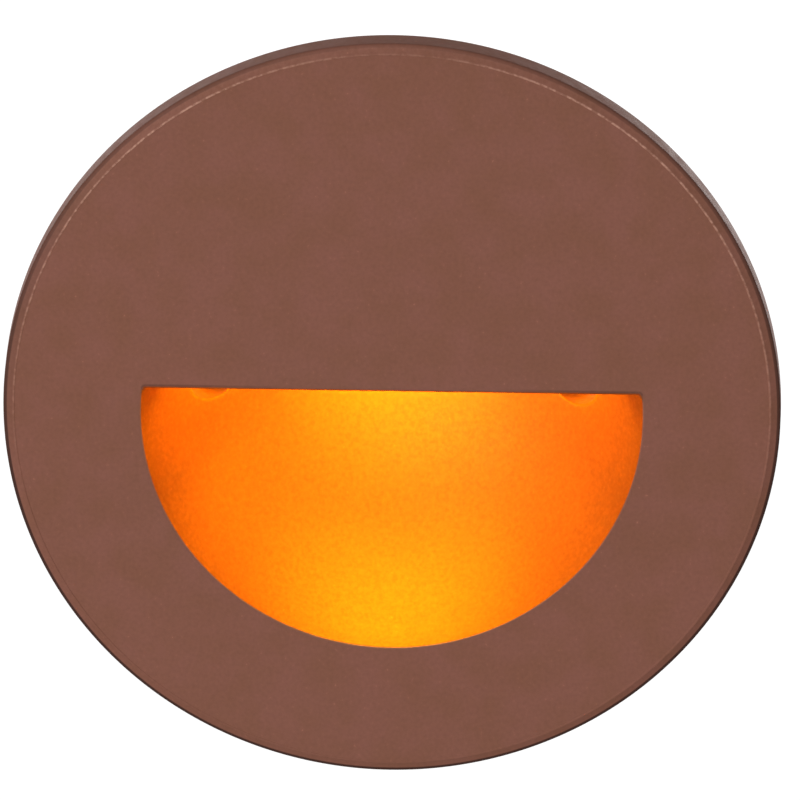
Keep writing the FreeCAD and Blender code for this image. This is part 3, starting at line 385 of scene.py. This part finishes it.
def brown_coat():
    """Fine-textured powder coat with faint clouds and specks.

    It has painted amber light in the scoop, wear with a painted highlight on the rim's ridge, and painted
    shade in its corner, as the mesh is marked.
    """
    material, tree, shader = new_material("brown_coat")
    place = object_place(tree)
    clouds = ramp(tree, noise(tree, place, 4 * MM, 5),
                  (0.35, (0.217, 0.088, 0.056)), (0.65, (0.235, 0.094, 0.066)))
    # The scoop's amber tone is painted light: the amber lamp's glow painted into the brown coat's colour.
    amber_lit_sand = ramp(tree, noise(tree, place, 0.45 * MM, 3),
                (0.34, (0.33, 0.058, 0.003)), (0.50, (0.36, 0.0655, 0.003)), (0.66, (0.40, 0.075, 0.004)))
    toned = mix(tree, "MIX", marked(tree, "in_scoop"), clouds, amber_lit_sand)
    specks = ramp(tree, noise(tree, place, 0.4 * MM, 2), (0.25, 0.93), (0.50, 1.0), (0.70, 1.05), (0.80, 1.4))
    speckled = mix(tree, "MULTIPLY", 1.0, toned, specks)
    # The light copper on the ridge is partly bare metal where the coat is worn and partly a painted
    # highlight.
    highlight_and_wear = ramp(tree, noise(tree, place, 0.5 * MM, 4), (0.42, 0.2), (0.60, 1.0))
    lit_and_worn = mix(tree, "MULTIPLY", 1.0, marked(tree, "ridge_highlight_and_wear"), highlight_and_wear)
    bare_and_highlight, painted_shade = (0.62, 0.34, 0.25), (0.03, 0.012, 0.009)
    shown = mix(tree, "MIX", lit_and_worn, speckled, bare_and_highlight)
    # The near-black colour is painted shade, laid in the rim's corner, on the left bevel and at the lid lip's
    # ends.
    darkened = mix(tree, "MIX", marked(tree, "painted_edge_shade"), shown, painted_shade)
    tree.links.new(darkened, shader.inputs["Base Color"])
    gloss = ramp(tree, noise(tree, place, 1.2 * MM), (0.3, 0.54), (0.7, 0.64))
    tree.links.new(gloss, shader.inputs["Roughness"])
    shader.inputs["Specular IOR Level"].default_value = 0.1
    # The grain is shallower in the scoop, where the amber lamps' light grazes it.
    relief = ramp(tree, marked(tree, "in_scoop"), (0.0, 1.0), (1.0, 0.15))
    waves = mix(tree, "MULTIPLY", 1.0, noise(tree, place, 0.55 * MM), relief)
    grains = mix(tree, "MULTIPLY", 1.0, noise(tree, place, 0.22 * MM), relief)
    bump(tree, shader, (waves, 0.5, 0.035 * MM), (grains, 0.4, 0.012 * MM))
    return material


def gasket_foam():
    """Closed-cell foam: small pits between soft cells, in place of the finish's grain."""
    material, tree, shader = finish("gasket_foam", (0.035, 0.035, 0.037), 0.85, grain=0.5 * MM)
    cells = add_node(tree, "ShaderNodeTexVoronoi", Scale=1 / (0.35 * MM))
    tree.links.new(object_place(tree), cells.inputs["Vector"])
    bump(tree, shader, (cells.outputs["Distance"], 0.6, 0.06 * MM))
    return material


def clear_lens():
    """Clear polycarbonate with a faint moulded haze."""
    material, _, shader = finish("clear_lens", (0.95, 0.93, 0.88), 0.08, grain=0.8 * MM, depth=0.002 * MM)
    shader.inputs["Transmission Weight"].default_value = 0.9
    shader.inputs["IOR"].default_value = 1.58
    return material


def amber_light():
    """Lit amber phosphor of slightly uneven colour."""
    material, tree, shader = finish("amber_light", (1.0, 0.42, 0.02), 0.4, grain=0.4 * MM)
    light = ramp(tree, noise(tree, object_place(tree), 0.9 * MM),
                 (0.3, (1.0, 0.36, 0.01)), (0.7, (1.0, 0.50, 0.04)))
    tree.links.new(light, shader.inputs["Emission Color"])
    shader.inputs["Emission Strength"].default_value = 3.0
    return material


def board(name, colour):
    """Solder mask over fine copper lines, in place of the finish's grain."""
    material, tree, shader = finish(name, colour, 0.35, grain=0.25 * MM)
    lines = add_node(tree, "ShaderNodeTexBrick", {"offset": 0.5}, Scale=1 / (2.2 * MM), Mortar_Size=0.03)
    tree.links.new(object_place(tree), lines.inputs["Vector"])
    bump(tree, shader, (lines.outputs["Fac"], 0.3, 0.03 * MM))
    return material


def brushed(name, colour, rough):
    """Rolled sheet with fine lines along Z."""
    return finish(name, colour, rough, metal=1.0, grain=0.25 * MM, depth=0.004 * MM, vary=0.06,
                  stretch=(1, 1, 0.08))[0]


def plain(name, colour, rough, **more):
    """The plain finish alone."""
    return finish(name, colour, rough, **more)[0]


def make_materials():
    """One material for each slot of the record."""
    return {
        "brown_coat": brown_coat(),
        "seal_rubber": plain("seal_rubber", (0.02, 0.02, 0.022), 0.7, grain=0.4 * MM),
        "gasket_foam": gasket_foam(),
        "cast_aluminium": plain("cast_aluminium", (0.36, 0.37, 0.38), 0.45, metal=1.0, grain=0.35 * MM,
                                depth=0.02 * MM, vary=0.08),
        "plain_aluminium": plain("plain_aluminium", (0.72, 0.73, 0.75), 0.32, metal=1.0, depth=0.004 * MM),
        "stainless_steel": plain("stainless_steel", (0.55, 0.55, 0.56), 0.3, metal=1.0, depth=0.003 * MM),
        "spring_steel": brushed("spring_steel", (0.3, 0.3, 0.32), 0.45),
        "clear_lens": clear_lens(),
        "white_board": board("white_board", (0.78, 0.78, 0.76)),
        "amber_light": amber_light(),
        "green_board": board("green_board", (0.02, 0.16, 0.06)),
        "capacitor_sleeve": plain("capacitor_sleeve", (0.03, 0.04, 0.09), 0.3, depth=0.004 * MM),
        "ferrite": plain("ferrite", (0.07, 0.07, 0.075), 0.6, grain=0.2 * MM, depth=0.02 * MM),
        "chip_resin": plain("chip_resin", (0.025, 0.025, 0.027), 0.55, grain=0.15 * MM),
        "terminal_plastic": plain("terminal_plastic", (0.06, 0.20, 0.11), 0.5, grain=0.2 * MM),
        "red_insulation": plain("red_insulation", (0.5, 0.02, 0.02), 0.4, depth=0.005 * MM),
        "black_insulation": plain("black_insulation", (0.02, 0.02, 0.02), 0.4, depth=0.005 * MM),
        "black_nylon": plain("black_nylon", (0.028, 0.028, 0.03), 0.5, grain=0.25 * MM, depth=0.012 * MM),
    }


MATERIALS = make_materials()


def dress_frame():
    """Give each CAD node the material of its slot."""
    for part in frame["record"]["subparts"]:
        node = frame["nodes"][part["node"]]
        node.data.materials.clear()
        node.data.materials.append(MATERIALS[part["material_slot"]])


# ---- the face ----

def scoop_radius(y):
    """Radius of the scoop about its own axis at depth y."""
    return math.sqrt(SCOOP_RAD ** 2 - (y - SCOOP_CENTRE) ** 2)


def mouth_loop(radius, height):
    """Half-moon loop of (x, z, roundness).

    Roundness is 1 on the round wall, 0 on the lid, and between them in the corners.
    """
    corner_steps, arc_steps, lid_steps = 8, 180, 24
    rise = height - LIP_CORNER
    reach = math.sqrt((radius - LIP_CORNER) ** 2 - rise ** 2)
    turn = math.atan2(rise, reach)
    loop = []
    for step in range(corner_steps):
        share = step / corner_steps
        angle = math.pi / 2 + (turn - math.pi / 2) * share
        loop.append((reach + LIP_CORNER * math.cos(angle), rise + LIP_CORNER * math.sin(angle), share))
    for step in range(arc_steps):
        angle = turn - (math.pi + 2 * turn) * step / arc_steps
        loop.append((radius * math.cos(angle), radius * math.sin(angle), 1.0))
    for step in range(corner_steps):
        share = step / corner_steps
        angle = math.pi - turn + (turn - math.pi / 2) * share
        loop.append((-reach + LIP_CORNER * math.cos(angle), rise + LIP_CORNER * math.sin(angle), 1 - share))
    for step in range(lid_steps):
        loop.append((-reach + 2 * reach * step / lid_steps, height, 0.0))
    return loop


def round_lip(share, lean):
    """How far the round wall's lip stands outward and how deep it lies, for a wall that leans inward.

    The lean is in radians, and the share runs from 0 at the lip's front to 1 at its back.
    """
    contact = LIP_ROUND * math.tan((math.pi / 2 - lean) / 2)
    along = share ** 2 * contact
    return (1 - share) ** 2 * contact - along * math.sin(lean), along * math.cos(lean)


def lid_lip(share):
    """How far the lid's lip stands above its edge and how deep it lies."""
    return (1 - share) ** 2 * LID_LIP_HIGH, share ** 2 * LID_LIP_DEEP


def mouth_air():
    """The air in the mouth: flared by the lip, then along the round wall and the lid's underside."""
    lean = math.asin((FACE_FRONT - SCOOP_CENTRE) / SCOOP_RAD)
    height = LID_EDGE + MOUTH_DROP
    lip_steps = 6
    loops = []

    def add_loop(radius, rise, round_y, flat_y):
        """A loop of the mouth that is as deep as round_y on its round side and as flat_y on its flat one."""
        loops.append([(x, round_y * share + flat_y * (1 - share), z - MOUTH_DROP)
                      for x, z, share in mouth_loop(radius, rise)])

    for step in range(lip_steps + 1):
        round_out, round_deep = round_lip(step / lip_steps, lean)
        flat_out, flat_deep = lid_lip(step / lip_steps)
        if step == 0:
            add_loop(MOUTH_RAD + round_out, height + flat_out, FACE_FRONT - MM, FACE_FRONT - MM)
        add_loop(MOUTH_RAD + round_out, height + flat_out, FLAT_FRONT + round_deep, FLAT_FRONT + flat_deep)
    for share in (0.25, 0.5, 0.75, 1.0):
        y = FACE_FRONT * (1 - share)
        add_loop(scoop_radius(y), height, y, y)
    # The last loop lies inside the hollow, which is already cut.
    within = 0.2 * MM
    add_loop(scoop_radius(MM) - within, height, MM, MM)
    return loft("mouth_air", loops)


def cap_of_ball(name, radius, front, rings=72):
    """The part of a sphere about the scoop's centre that lies behind the plane y = front."""
    start = math.acos((front - SCOOP_CENTRE) / radius)
    # A tiny flat end stands for the pole.
    pole = start / rings / 20
    angles = [start * (1 - step / rings) for step in range(rings)] + [pole]
    profile = [(SCOOP_CENTRE + radius * math.cos(angle), radius * math.sin(angle)) for angle in angles]
    return lathe(name, profile, drop=MOUTH_DROP)


def below_ceiling(piece):
    """Cut off what stands behind the wall's plane above the scoop's ceiling."""
    combine(piece, box("trim", (-FAR, FAR), (0, FAR), (CEILING, FAR)), "DIFFERENCE")
    return piece


def sink_air(side):
    """The air of a concave screw hole, flared by a soft rim where it meets the scoop's round wall."""
    steps, lip_steps = 64, 4
    above = 0.4 * MM
    centre = Vector((0, SCOOP_CENTRE, -MOUTH_DROP))
    loops = [[] for _ in range(lip_steps + 3)]
    for step in range(steps):
        angle = 2 * math.pi * step / steps
        outward = Vector((math.cos(angle), 0, math.sin(angle)))
        x = side * SCREW_X + SINK_RAD * outward.x
        z = SCREW_UP + SINK_RAD * outward.z
        y = SCOOP_CENTRE + math.sqrt(SCOOP_RAD ** 2 - x ** 2 - (z + MOUTH_DROP) ** 2)
        rim = Vector((x, y, z))
        normal = (centre - rim).normalized()
        slope = (outward - normal * outward.dot(normal)).normalized()
        loops[0].append(rim + slope * SINK_SOFT + normal * above)
        for number in range(lip_steps + 1):
            share = number / lip_steps
            deeper = Vector((0, SINK_SOFT * share ** 2, 0))
            loops[number + 1].append(rim + slope * SINK_SOFT * (1 - share) ** 2 + deeper)
        loops[-1].append(Vector((x, SINK_FLOOR, z)))
    return loft("sink_air", loops)


def ring_groove(inner, outer, depth):
    """The air of a round groove in the face's back."""
    return tube("groove", [(-depth, inner), (MM, inner), (MM, outer), (-depth, outer)])


def lamp_shelf():
    """Half-round ceiling over the scoop, with the lamp frame on it."""
    reach = math.sqrt((SCOOP_RAD + SCOOP_WALL) ** 2 - (CEILING + MOUTH_DROP) ** 2)
    sweep = math.acos(-SCOOP_CENTRE / reach)
    steps = 64
    outline = [(reach * math.sin(sweep * (1 - 2 * step / steps)),
                SCOOP_CENTRE + reach * math.cos(sweep * (1 - 2 * step / steps))) for step in range(steps + 1)]
    outline += [(-reach * math.sin(sweep), SHELF_FRONT), (reach * math.sin(sweep), SHELF_FRONT)]
    shelf = loft("shelf", [[(x, y, z) for x, y in outline] for z in (CEILING, SHELF_TOP)])
    combine(shelf, box("lamp_frame", *LAMP_FRAME), "UNION")
    return shelf


def rim_profile():
    """The disc's edge in (y, radius) points, from its flat front to its back."""
    ridge = FACE_RAD - EDGE_ROUND
    crest_half = 0.4 * RIDGE_WIDE
    bevel_end = FACE_RAD - CORNER_RAD
    before_end = 0.1 * MM
    profile = [(FLAT_FRONT, ridge - 3 * RIDGE_WIDE), (FLAT_FRONT, ridge - RIDGE_WIDE),
               (FACE_FRONT, ridge - crest_half), (FACE_FRONT, ridge + crest_half),
               (FLAT_FRONT, ridge + RIDGE_WIDE), (FLAT_FRONT + 0.85 * BEVEL_DEEP, bevel_end - before_end)]
    profile += quarter((CORNER_START, FACE_RAD), (CORNER_START, bevel_end),
                       (CORNER_START + CORNER_RAD, FACE_RAD), 5)
    profile.append((CORNER_START + 1.5 * CORNER_RAD, FACE_RAD))
    return profile + quarter((0, FACE_RAD), (-BACK_ROUND, FACE_RAD), (0, FACE_RAD - BACK_ROUND), 4)


def share_between(value, low, high):
    """0 up to low, 1 from high, and even between them."""
    return min(max((value - low) / (high - low), 0.0), 1.0)


def in_hollow(x, y, z):
    """Whether a point lies on the scoop's round wall or in a screw's hole."""
    near = 0.1 * MM
    in_ball = math.hypot(x, y - SCOOP_CENTRE, z + MOUTH_DROP) < SCOOP_RAD + near
    in_sink = y > MM and math.hypot(abs(x) - SCREW_X, z - SCREW_UP) < SINK_RAD + near
    return (in_ball and y > FACE_FRONT + near) or in_sink


def wear_highlight_and_shade(x, y, z):
    """How much wear, painted highlight and painted shade the coat has at a point: both marks are 0 away
    from the edges.

    The ridge is worn and carries a painted highlight in the disc's upper half, more to its sides than at its
    top, with a trace of both on the bevel. Painted shade lies in the rim's corner, most of it in the lower
    half where the edge faces down, on the bevel at the left, and along the ends of the lid's lip.
    """
    highlight_and_wear = painted_shade = 0.0
    radius = math.hypot(x, z)
    upper = share_between(z, -0.25 * FACE_RAD, 0.75 * FACE_RAD)
    from_top = share_between(abs(x), 4 * MM, 18 * MM)
    past_ridge = radius - (FACE_RAD - EDGE_ROUND)
    # The ridge: wear and a painted highlight, in the upper half where the lamps catch it.
    if abs(past_ridge) < 0.9 * RIDGE_WIDE:
        highlight_and_wear = upper * (0.15 + 0.55 * from_top)
    elif past_ridge > 0 and y < CORNER_START + 0.01 * MM:
        # The bevel: a trace of wear and painted highlight above, and painted shade at the left.
        highlight_and_wear = 0.04 * upper
        painted_shade = 0.4 * upper * share_between(-x / radius, 0.75, 0.95)
    # The rim's corner: painted shade, strongest in the lower half, where the edge faces down.
    if radius > FACE_RAD - 1.02 * CORNER_RAD and y < CORNER_START + 1.2 * CORNER_RAD:
        painted_shade = 0.9 - upper * (0.75 - 0.2 * from_top)
    # The ends of the lid's lip: painted shade.
    on_lid = abs(z - LID_EDGE) < 0.9 * LID_LIP_HIGH and abs(x) < MOUTH_RAD
    if on_lid and 0.003 * MM < y - FLAT_FRONT < LID_LIP_DEEP + 0.1 * MM:
        painted_shade = 0.4 * share_between(abs(x), 10 * MM, 18 * MM)
    return highlight_and_wear, painted_shade


def mark_coat(piece):
    """Mark on the mesh the scoop's hollow for its painted amber light, the ridge for its wear and painted
    highlight, and the corners for painted shade.
    """
    points = [point.co for point in piece.data.vertices]
    at_edges = [wear_highlight_and_shade(*point) for point in points]
    marks = {
        "in_scoop": [float(in_hollow(*point)) for point in points],
        "ridge_highlight_and_wear": [highlight_and_wear for highlight_and_wear, painted_shade in at_edges],
        "painted_edge_shade": [painted_shade for highlight_and_wear, painted_shade in at_edges],
    }
    for name, values in marks.items():
        piece.data.attributes.new(name, "FLOAT", "POINT").data.foreach_set("value", values)


def make_face():
    """The face casting: disc, scoop with its soft-lipped mouth, screw bosses, lamp shelf and grooves."""
    face = lathe("face", rim_profile(), segments=320)
    combine(face, below_ceiling(cap_of_ball("shell", SCOOP_RAD + SCOOP_WALL, -INSIDE)), "UNION")
    for side in (-1, 1):
        boss = rod("boss", SINK_RAD + SINK_WALL, -INSIDE, BOSS_BACK, side * SCREW_X, SCREW_UP)
        combine(face, boss, "UNION")
    # The hollow starts a hair in front of the disc's back, so that their flat faces don't coincide.
    hair = 0.01 * MM
    combine(face, below_ceiling(cap_of_ball("hollow", SCOOP_RAD, -hair)), "DIFFERENCE")
    combine(face, mouth_air(), "DIFFERENCE")
    for side in (-1, 1):
        combine(face, sink_air(side), "DIFFERENCE")
        clear = rod("clear", SCREW_CLEAR, SINK_FLOOR - INSIDE, BOSS_BACK + MM, side * SCREW_X, SCREW_UP)
        combine(face, clear, "DIFFERENCE")
    combine(face, lamp_shelf(), "UNION")
    combine(face, box("seat", *LENS_SEAT), "DIFFERENCE")
    combine(face, box("window", *LAMP_WINDOW), "DIFFERENCE")
    combine(face, ring_groove(*SEAL_GROOVE), "DIFFERENCE")
    combine(face, ring_groove(*GASKET_GROOVE), "DIFFERENCE")
    smooth(face, 25)
    mark_coat(face)
    place_piece(face, "coated_face", "brown_coat", "light", ["face_casting"])


def make_wall_gasket():
    """Foam ring, crowned between its edges, in the groove on the flange's back."""
    low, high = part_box("wall_gasket")
    outer, depth = high.x, low.y
    groove_in, groove_out, _ = GASKET_GROOVE
    inner = groove_in + groove_out - outer
    steps = 10
    profile = [(depth, inner)]
    for step in range(steps + 1):
        share = step / steps
        profile.append((-GASKET_CROWN * (2 * share - 1) ** 4, inner + (outer - inner) * share))
    profile.append((depth, outer))
    gasket = tube("gasket", profile)
    smooth(gasket, 50)
    place_piece(gasket, "foam_gasket", "gasket_foam", "light", ["wall_gasket"])


def make_clip_spring(side):
    """The torsion spring's own shape, smoothly shaded, in the node's place."""
    node = f"clip_spring_{side}"
    spring = link("spring", frame["nodes"][node].data.copy())
    smooth(spring, 50)
    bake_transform(spring)
    name_piece(spring, f"{side}_torsion_spring", "spring_steel", [node])


dress_frame()
make_face()
make_wall_gasket()
dressed_node("housing_can", "cast_housing", "cast_aluminium", 0.2 * MM)
dressed_node("gland_body", "gland_hexagon", "black_nylon", 0.25 * MM)
dressed_node("gland_nut", "gland_dome_nut", "black_nylon", 0.25 * MM)
dressed_node("gland_washer", "gland_seal_washer", "seal_rubber", 0.2 * MM)
for side in ("left", "right"):
    dressed_node(f"clip_arm_{side}", f"{side}_clip_blade", "spring_steel", 0.1 * MM, f"{side}_clip")
    make_clip_spring(side)


# ---- stage, lamps and camera ----

def seen_mix(tree, output, plain_shader, seen_shader):
    """Join two shaders: the second is what the camera sees, also in mirrors and through glass."""
    path = add_node(tree, "ShaderNodeLightPath")
    share = path.outputs["Is Camera Ray"]
    for kind in ("Is Glossy Ray", "Is Transmission Ray"):
        either = add_node(tree, "ShaderNodeMath", {"operation": "MAXIMUM"})
        tree.links.new(share, either.inputs[0])
        tree.links.new(path.outputs[kind], either.inputs[1])
        share = either.outputs[0]
    join = add_node(tree, "ShaderNodeMixShader")
    tree.links.new(share, join.inputs[0])
    tree.links.new(plain_shader, join.inputs[1])
    tree.links.new(seen_shader, join.inputs[2])
    tree.links.new(join.outputs[0], output)


def make_floor():
    """Pale floor, well below the step light, that shows white but keeps its shadow.

    From underneath it is clear, so that the step light can be seen from below.
    """
    half, level = 4.0, -0.16
    corners = ((-half, -half), (half, -half), (half, half), (-half, half))
    mesh = bpy.data.meshes.new("floor")
    mesh.from_pydata([(x, y, level) for x, y in corners], [], [(0, 1, 2, 3)])
    material = bpy.data.materials.new("pale_floor")
    material.use_nodes = True
    tree = material.node_tree
    tree.nodes.clear()
    output = add_node(tree, "ShaderNodeOutputMaterial")
    pale = add_node(tree, "ShaderNodeBsdfDiffuse", Color=(0.3, 0.3, 0.3, 1))
    shaded = add_node(tree, "ShaderNodeBsdfDiffuse", Color=(0.2, 0.2, 0.2, 1))
    lit = add_node(tree, "ShaderNodeEmission", Color=(1, 1, 1, 1), Strength=0.94)
    white = add_node(tree, "ShaderNodeAddShader")
    tree.links.new(shaded.outputs[0], white.inputs[0])
    tree.links.new(lit.outputs[0], white.inputs[1])
    underside = add_node(tree, "ShaderNodeNewGeometry")
    clear = add_node(tree, "ShaderNodeBsdfTransparent")
    top_only = add_node(tree, "ShaderNodeMixShader")
    tree.links.new(underside.outputs["Backfacing"], top_only.inputs[0])
    tree.links.new(clear.outputs[0], top_only.inputs[2])
    tree.links.new(top_only.outputs[0], output.inputs[0])
    seen_mix(tree, top_only.inputs[1], pale.outputs[0], white.outputs[0])
    floor = link("floor", mesh)
    floor.data.materials.append(material)


def make_world(strength):
    """Even soft light from all sides, behind a background that shows white."""
    world = bpy.data.worlds.new("studio")
    bpy.context.scene.world = world
    world.use_nodes = True
    tree = world.node_tree
    tree.nodes.clear()
    output = add_node(tree, "ShaderNodeOutputWorld")
    soft = add_node(tree, "ShaderNodeBackground", Color=(1, 1, 1, 1), Strength=strength)
    white = add_node(tree, "ShaderNodeBackground", Color=(1, 1, 1, 1), Strength=1.0)
    seen_mix(tree, output.inputs[0], soft.outputs[0], white.outputs[0])


def area_lamp(name, place, target, size, power, colour=(1, 1, 1), spread=180):
    """A rectangular lamp, in metres, watts and degrees, that the camera doesn't see."""
    data = bpy.data.lights.new(name, "AREA")
    data.spread = math.radians(spread)
    data.shape = "RECTANGLE"
    data.size, data.size_y = size
    data.energy = power
    data.color = colour
    lamp = link(name, data)
    lamp.location = place
    lamp.rotation_mode = "QUATERNION"
    lamp.rotation_quaternion = (Vector(target) - Vector(place)).to_track_quat("-Z", "Y")
    lamp.visible_camera = False


# The photograph's view, fitted to the outlines of the disc and the scoop: a long lens, three metres away.
VIEW_DISTANCE = 3.0
VIEW_ELEVATION = math.radians(20.907)
VIEW_AZIMUTH = math.radians(1.45)
VIEW_ROLL = math.radians(0.331)
VIEW_MOVE_RIGHT = 0.81 * MM
VIEW_MOVE_UP = 0.988 * MM
FOCAL_PIXELS = 30625
PHOTO_PIXELS = 800


def make_camera():
    """The camera, turned and moved as the photograph was."""
    sin_a, cos_a = math.sin(VIEW_AZIMUTH), math.cos(VIEW_AZIMUTH)
    sin_e, cos_e = math.sin(VIEW_ELEVATION), math.cos(VIEW_ELEVATION)
    back = Vector((sin_a * cos_e, -cos_a * cos_e, sin_e))
    level_right = Vector((cos_a, sin_a, 0))
    level_up = Vector((-sin_a * sin_e, cos_a * sin_e, cos_e))
    right = level_right * math.cos(VIEW_ROLL) + level_up * math.sin(VIEW_ROLL)
    up = level_up * math.cos(VIEW_ROLL) - level_right * math.sin(VIEW_ROLL)
    data = bpy.data.cameras.new("photo_view")
    data.sensor_width = 36.0
    data.lens = FOCAL_PIXELS * data.sensor_width / PHOTO_PIXELS
    data.clip_end = 30
    camera = link("photo_view", data)
    place = Vector((0, FACE_FRONT, 0)) + back * VIEW_DISTANCE + right * VIEW_MOVE_RIGHT + up * VIEW_MOVE_UP
    axes = Matrix((right, up, back)).transposed()
    camera.matrix_world = Matrix.Translation(place) @ axes.to_4x4()
    bpy.context.scene.camera = camera


AMBER = (1.0, 0.88, 0.01)
DEEP_AMBER = (1.0, 0.55, 0.0)


def glow(name, place, target, size, power, colour=AMBER, spread=180):
    """A small lamp in the scoop; its places and size are in millimetres and its power is in milliwatts."""
    area_lamp(name, Vector(place) * MM, Vector(target) * MM, [edge * MM for edge in size],
              power / 1000, colour, spread)


def make_lamps():
    """Soft studio light from behind and in front, and the amber light that the hidden lamp throws."""
    for side, power in ((-1, 0.8), (1, 2.2)):
        area_lamp(f"soft_back_{side + 1}", (side * 0.29, 0.75, -side * 0.055), (0, 0, 0), (0.35, 0.35), power)
    area_lamp("soft_front", (-0.4, -0.88, 0.03), (0, 0, 0), (0.7, 0.3), 6.4)
    glow("amber_window", (0, 4.5, 9.9), (0, 4.5, 0), (16, 4), 6)
    glow("amber_back", (0, 8, 8), (0, 9, 0), (16, 3), 17.5, spread=120)
    glow("amber_beam", (0, 1.5, 6), (0, -1, -30), (18, 1.5), 2.7, spread=42)
    # The front lamp already lights the scoop's right side, so the glow is stronger on the left.
    glow("amber_low", (-9, 1.5, 5), (-17, -1, -17), (6, 1.5), 0.6, spread=60)
    for side, at_sink, painted_edge_shade, at_wall in ((-1, 1.4, 0.5, 0.26), (1, 1.2, 0.25, 0.22)):
        glow(f"amber_sink_{side + 1}", (side * 15, 1.5, 3.6), (side * 19.5, 6.5, -1.5), (2, 1), at_sink)
        glow(f"amber_corner_{side + 1}", (side * 14, -2.5, -6), (side * 24.5, -1.5, 2), (4, 4),
             painted_edge_shade, DEEP_AMBER, 110)
        glow(f"amber_wall_{side + 1}", (side * 12, -1.5, -8), (side * 24, -1.5, -10), (6, 6),
             at_wall, DEEP_AMBER, 150)


make_camera()
make_floor()
make_world(strength=0.4)
make_lamps()

bpy.context.scene.view_settings.view_transform = "Standard"
